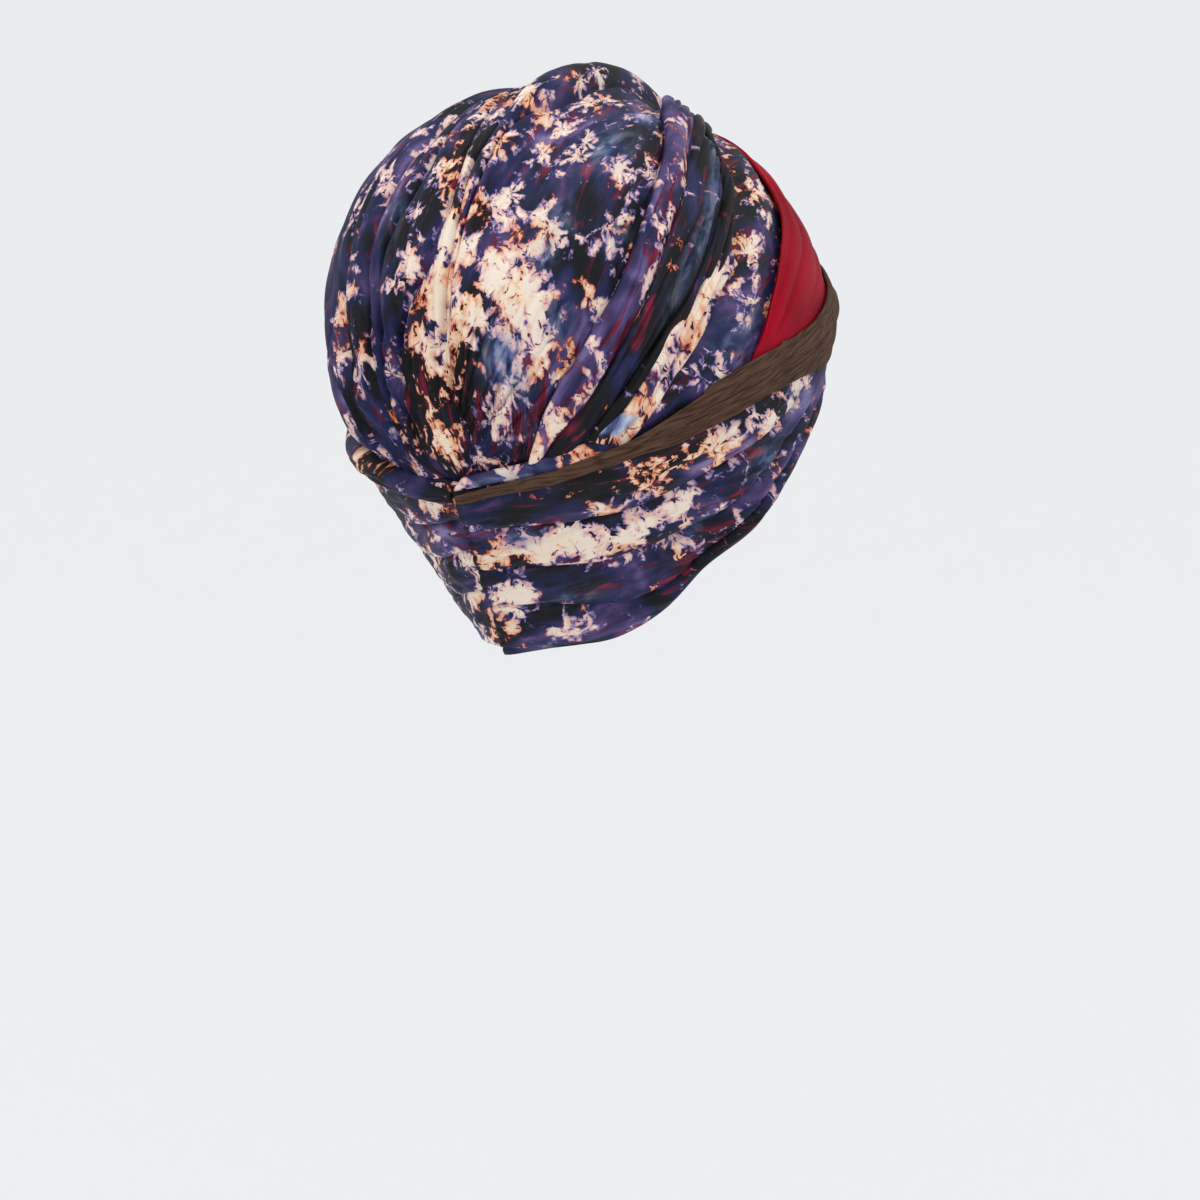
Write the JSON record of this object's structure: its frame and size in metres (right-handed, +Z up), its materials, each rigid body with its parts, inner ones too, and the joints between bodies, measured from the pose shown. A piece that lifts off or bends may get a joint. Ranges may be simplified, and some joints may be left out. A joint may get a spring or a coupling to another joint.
{
  "type": "turban headwrap",
  "caption": "Turban headwrap in worn form: gathered print crown, pleated nape band, side drape, flat tie strap, rolled band, smooth red sash and crinkled brown sash.",
  "frame": {"origin": "centre of the band line, the tilted oval where the crown meets the nape band, in the middle of the hollow that takes the head", "axes": "+Z up as worn, -Y is the way the wearer looks, +X is the wearer's left"},
  "size_m": [0.1861, 0.2385, 0.2324],
  "materials": {
    "print_jersey": "matte stretch jersey with a bleached tie-dye print in navy, purple, pink and cream",
    "red_jersey": "smooth matte red stretch jersey",
    "brown_crinkle": "matte brown cloth with fine lengthwise crinkles"
  },
  "bodies": {
    "root": {"crown": "print_jersey", "nape_band": "print_jersey", "band_roll": "print_jersey", "side_drape": "print_jersey", "tie_strap": "print_jersey", "red_sash": "red_jersey", "brown_sash": "brown_crinkle"}
  },
  "joints": []
}
